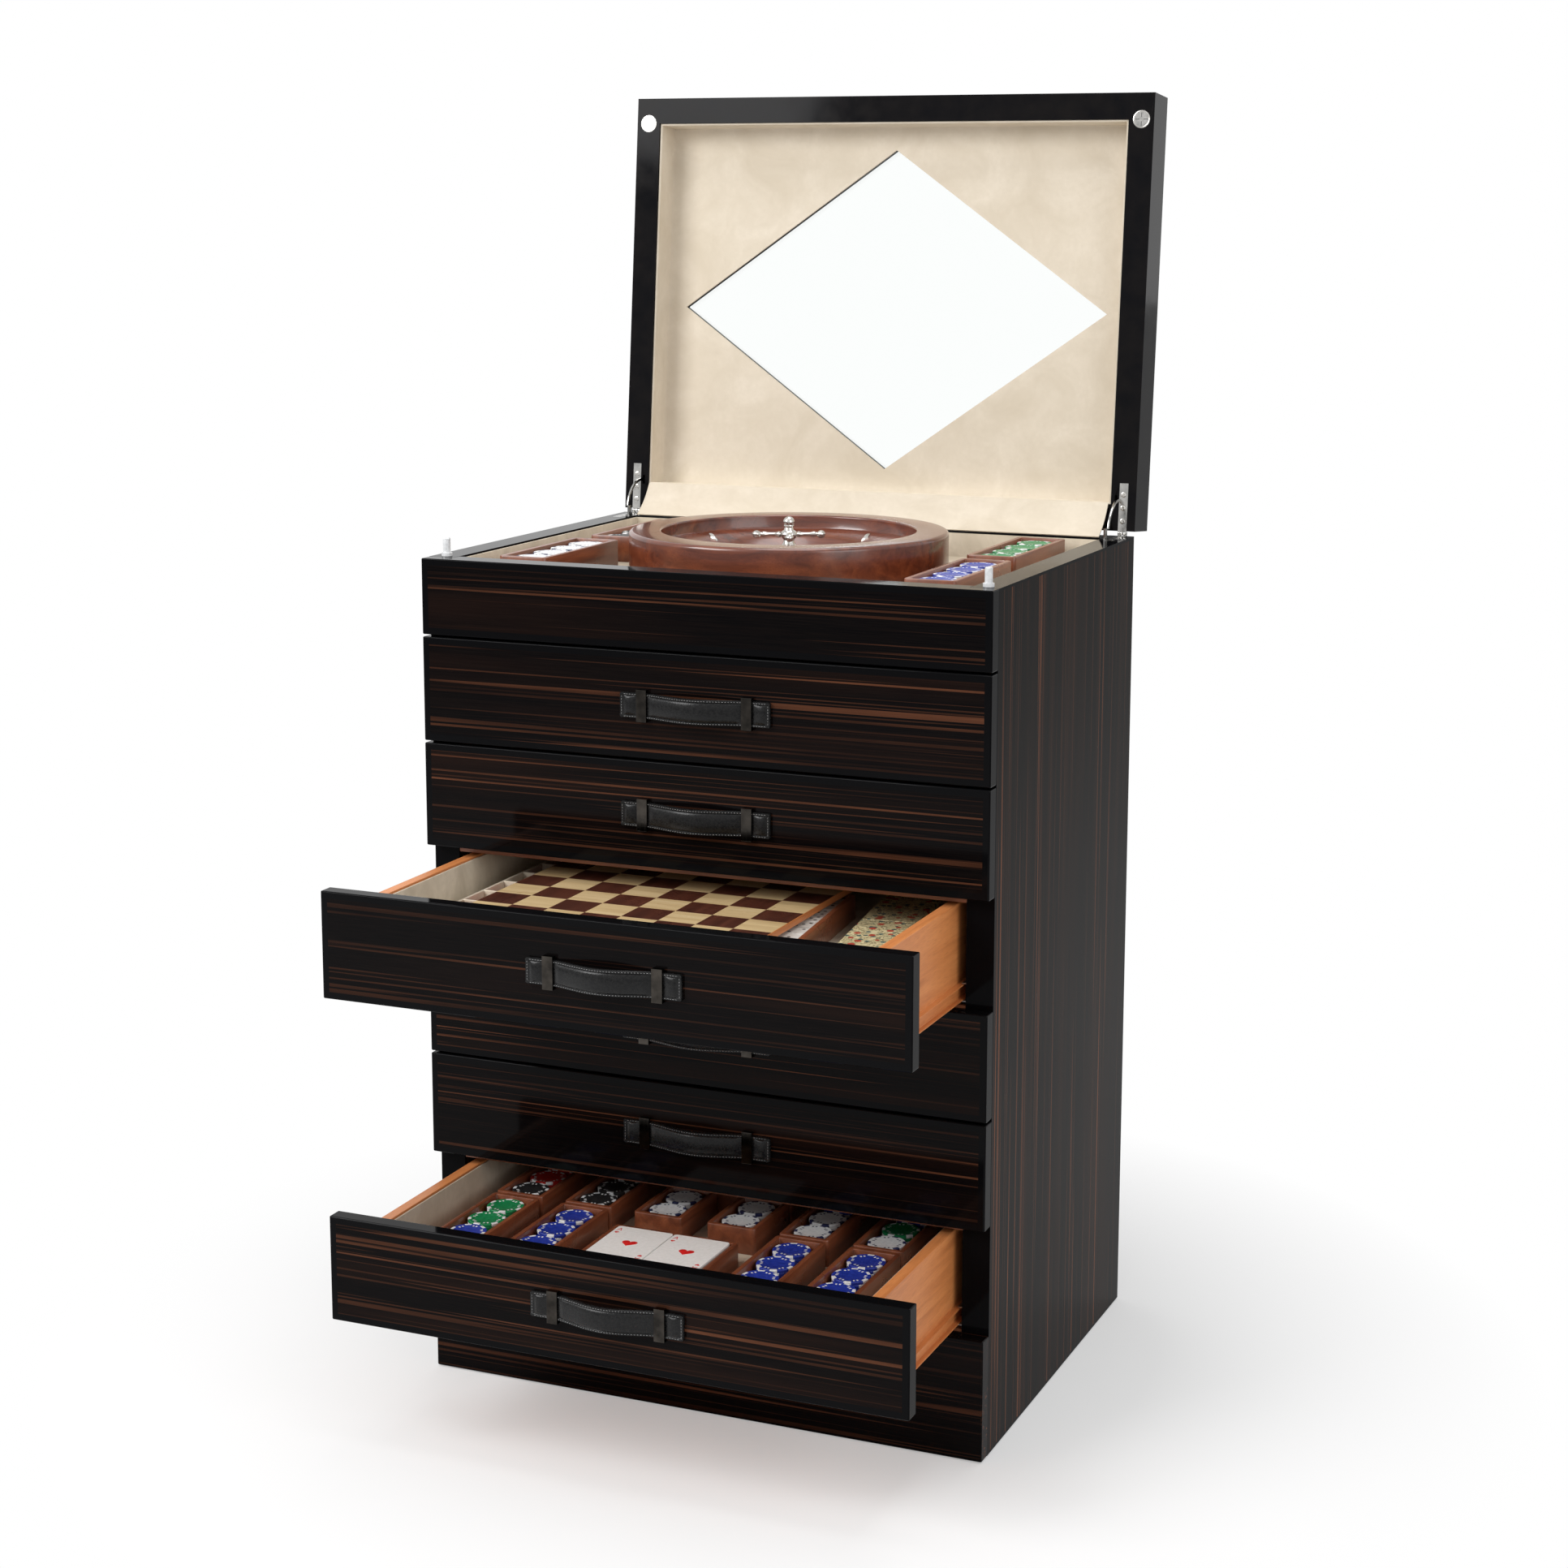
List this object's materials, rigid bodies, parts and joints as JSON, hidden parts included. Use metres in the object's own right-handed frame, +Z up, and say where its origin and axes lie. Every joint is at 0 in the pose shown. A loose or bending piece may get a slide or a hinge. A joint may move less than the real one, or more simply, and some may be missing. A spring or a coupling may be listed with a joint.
{
  "type": "gaming cabinet with drawers",
  "caption": "Gaming cabinet: a lift-up glazed lid over a roulette compartment, above a stack of strap-handled drawers holding a chessboard, chips and cards.",
  "frame": {"origin": "centre of the case's underside, where it stands on the floor", "axes": "+Z up, -Y towards the user in front of the drawers, +X to the user's right"},
  "size_m": [0.64, 0.8228, 1.3981],
  "materials": {
    "ebony": "glossy lacquered dark ebony veneer",
    "carcase_wood": "satin stained wood",
    "mahogany": "glossy mahogany",
    "lining": "cream suede",
    "steel": "bright zinc-plated steel",
    "chrome": "polished",
    "dark_metal": "polished dark nickel",
    "leather": "black, stitched",
    "glass": "clear",
    "pin_plastic": "translucent white",
    "chip": "coloured gaming chips",
    "card": "coated card",
    "card_box": "printed card box",
    "board": "inlaid and lacquered",
    "piece": "polished"
  },
  "bodies": {
    "case": {"side_panels": "ebony", "back_panel": "ebony", "carcase_boards": "carcase_wood", "apron": "ebony", "plinth": "ebony", "compartment_lining": "lining", "slide_channels": "steel", "rim_fittings": "chrome", "roulette_bowl": "mahogany", "top_trays": "mahogany", "top_chips": "chip", "hinge_gusset": "lining"},
    "lid": {"lid_frame": "ebony", "lid_panel": "ebony", "lid_glass": "glass", "lid_lining": "lining", "lid_hinge_leaves": "chrome", "strike_discs": "chrome"},
    "wheel": {"roulette_rotor": "mahogany", "roulette_fret_ring": "chrome", "roulette_turret": "chrome"},
    "plunger_left": {"plunger_left": "pin_plastic"},
    "plunger_right": {"plunger_right": "pin_plastic"},
    "drawer_1": {"drawer_1_front": "ebony", "drawer_1_box": "mahogany", "drawer_1_lining": "lining", "drawer_1_strap": "leather", "drawer_1_loops": "dark_metal"},
    "drawer_2": {"drawer_2_front": "ebony", "drawer_2_box": "mahogany", "drawer_2_lining": "lining", "drawer_2_strap": "leather", "drawer_2_loops": "dark_metal"},
    "drawer_3": {"drawer_3_front": "ebony", "drawer_3_box": "mahogany", "drawer_3_lining": "lining", "drawer_3_strap": "leather", "drawer_3_loops": "dark_metal", "chessboard": "board", "domino_box": "mahogany", "game_pieces": "piece", "card_packs": "card_box"},
    "drawer_4": {"drawer_4_front": "ebony", "drawer_4_box": "mahogany", "drawer_4_lining": "lining", "drawer_4_strap": "leather", "drawer_4_loops": "dark_metal"},
    "drawer_5": {"drawer_5_front": "ebony", "drawer_5_box": "mahogany", "drawer_5_lining": "lining", "drawer_5_strap": "leather", "drawer_5_loops": "dark_metal"},
    "drawer_6": {"drawer_6_front": "ebony", "drawer_6_box": "mahogany", "drawer_6_lining": "lining", "drawer_6_strap": "leather", "drawer_6_loops": "dark_metal", "chip_trays": "mahogany", "drawer_chips": "chip", "card_decks": "card"}
  },
  "joints": [
    {"name": "lid_hinge", "type": "hinge", "parent": "case", "child": "lid", "pos_m": [0, 0.2475, 0.9075], "axis": [1, 0, 0], "range_deg": [0, 95.3], "deforming": ["hinge_gusset"]},
    {"name": "drawer_1_slide", "type": "slide", "parent": "case", "child": "drawer_1", "axis": [0, -1, 0], "range_m": [0, 0.32]},
    {"name": "drawer_2_slide", "type": "slide", "parent": "case", "child": "drawer_2", "axis": [0, -1, 0], "range_m": [0, 0.32]},
    {"name": "drawer_3_slide", "type": "slide", "parent": "case", "child": "drawer_3", "axis": [0, -1, 0], "range_m": [-0.214, 0.106]},
    {"name": "drawer_4_slide", "type": "slide", "parent": "case", "child": "drawer_4", "axis": [0, -1, 0], "range_m": [0, 0.32]},
    {"name": "drawer_5_slide", "type": "slide", "parent": "case", "child": "drawer_5", "axis": [0, -1, 0], "range_m": [0, 0.32]},
    {"name": "drawer_6_slide", "type": "slide", "parent": "case", "child": "drawer_6", "axis": [0, -1, 0], "range_m": [-0.214, 0.106]},
    {"name": "wheel_spin", "type": "hinge", "parent": "case", "child": "wheel", "pos_m": [0, 0, 0.9], "axis": [0, 0, 1], "continuous": true},
    {"name": "plunger_left_slide", "type": "slide", "parent": "case", "child": "plunger_left", "axis": [0, 0, -1], "range_m": [0, 0.0195]},
    {"name": "plunger_right_slide", "type": "slide", "parent": "case", "child": "plunger_right", "axis": [0, 0, -1], "range_m": [0, 0.0195]}
  ],
  "couplings": [
    {"joint": "plunger_left_slide", "follows": "lid_hinge", "m_per_rad": 0.01171},
    {"joint": "plunger_right_slide", "follows": "lid_hinge", "m_per_rad": 0.01171}
  ]
}
